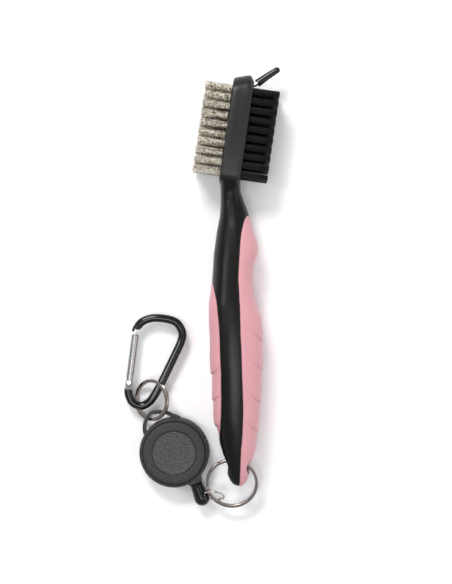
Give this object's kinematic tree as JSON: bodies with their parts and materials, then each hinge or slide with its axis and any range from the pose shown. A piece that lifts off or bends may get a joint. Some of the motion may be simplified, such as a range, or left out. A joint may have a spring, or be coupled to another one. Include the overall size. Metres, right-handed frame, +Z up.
{
  "type": "golf club groove brush",
  "caption": "Two-sided cleaning brush with crimped wire and nylon tufts, a capped groove spike, a soft-grip handle, and a retracting cord reel with split rings and a carabiner clip",
  "frame": {"origin": "middle of the footprint of the whole assembly on the ground it lies on, at ground height", "axes": "+Y along the brush from the tail towards the head, +X towards the nylon side, +Z up from the ground; the brush lies on its narrow side and the clip lies beside it"},
  "size_m": [0.0717, 0.202, 0.024],
  "materials": {
    "core_black": "smooth semi-gloss black moulding",
    "grip_pink": "soft satin pink overmould with scale-like ribs",
    "steel_wire": "crimped bright wire filaments",
    "black_nylon": "straight black nylon filaments",
    "brass_staple": "plain drawn strip",
    "pin_steel": "polished pin",
    "cap_vinyl": "glossy soft vinyl",
    "ring_steel": "polished nickel-plated split ring",
    "jump_steel": "polished nickel-plated wire",
    "bead_black": "glossy black moulding",
    "cord_black": "fine braided cord",
    "reel_case": "finely textured dark grey moulding",
    "reel_cover": "finely textured dark grey moulding",
    "reel_badge": "textured blank disc",
    "bush_grey": "plain moulding",
    "spool_white": "plain natural moulding",
    "spring_steel": "plain spring steel",
    "carabiner_black": "glossy black finish on aluminium rod",
    "gate_aluminium": "bright turned aluminium",
    "rivet_steel": "plain steel"
  },
  "bodies": {
    "brush": {"brush_core": "core_black", "grip_front": "grip_pink", "grip_back": "grip_pink", "wire_tufts": "steel_wire", "wire_guard_tufts": "steel_wire", "nylon_tufts": "black_nylon", "nylon_guard_tufts": "black_nylon", "wire_anchors": "brass_staple", "nylon_anchors": "brass_staple", "spike": "pin_steel"},
    "cap": {"spike_cap": "cap_vinyl"},
    "key_loop": {"key_ring": "ring_steel"},
    "link": {"jump_ring": "jump_steel"},
    "bead": {"cord_end": "bead_black", "cord_knot": "cord_black", "pull_cord": "cord_black"},
    "reel": {"reel_back": "reel_case", "reel_front": "reel_cover", "reel_badge": "reel_badge", "outlet_bush": "bush_grey", "post_clip": "spring_steel"},
    "drum": {"spool": "spool_white", "wound_cord": "cord_black", "mainspring": "spring_steel"},
    "lug_loop": {"lug_ring": "ring_steel"},
    "clip": {"carabiner_body": "carabiner_black", "gate_rivet": "rivet_steel"},
    "gate_arm": {"gate": "gate_aluminium", "latch_pin": "rivet_steel", "gate_spring": "spring_steel"}
  },
  "joints": [
    {"name": "cap_pull", "type": "slide", "parent": "brush", "child": "cap", "axis": [0.832, 0.5548, 0], "range_m": [0, 0.013]},
    {"name": "key_ring_swing", "type": "hinge", "parent": "brush", "child": "key_loop", "pos_m": [0.01375, -0.0804, 0.012], "axis": [1, 0, 0], "range_deg": [-60, 60]},
    {"name": "link_swing", "type": "hinge", "parent": "key_loop", "child": "link", "pos_m": [0.00461, -0.09532, 0.008], "axis": [0.5878, -0.7815, -0.2094], "range_deg": [-12, 12]},
    {"name": "bead_swing", "type": "hinge", "parent": "link", "child": "bead", "pos_m": [0.00133, -0.09558, 0.00619], "axis": [0.4657, -0.4936, -0.7344], "range_deg": [-20, 6]},
    {"name": "cord_pull", "type": "slide", "parent": "bead", "child": "reel", "axis": [-0.3746, 0.9272, 0], "range_m": [0, 0.6], "stiffness_N_per_m": 1, "springref_m": -1},
    {"name": "spool_turn", "type": "hinge", "parent": "reel", "child": "drum", "pos_m": [-0.01275, -0.0751, 0.005], "axis": [0, 0, 1], "continuous": true},
    {"name": "lug_ring_swing", "type": "hinge", "parent": "reel", "child": "lug_loop", "pos_m": [-0.02123, -0.05971, 0.00751], "axis": [0.7969, 0.2756, 0.5375], "range_deg": [-15, 15]},
    {"name": "clip_swing", "type": "hinge", "parent": "lug_loop", "child": "clip", "pos_m": [-0.02485, -0.0525, 0.00495], "axis": [0.8882, 0.4594, 0], "range_deg": [-15, 5]},
    {"name": "gate_open", "type": "hinge", "parent": "clip", "child": "gate_arm", "pos_m": [-0.03365, -0.043, 0.00495], "axis": [0, 0, -1], "range_deg": [0, 28], "stiffness_Nm_per_rad": 0.02, "springref_deg": -28.65}
  ],
  "couplings": [
    {"joint": "spool_turn", "follows": "cord_pull", "rad_per_m": 109.89}
  ]
}
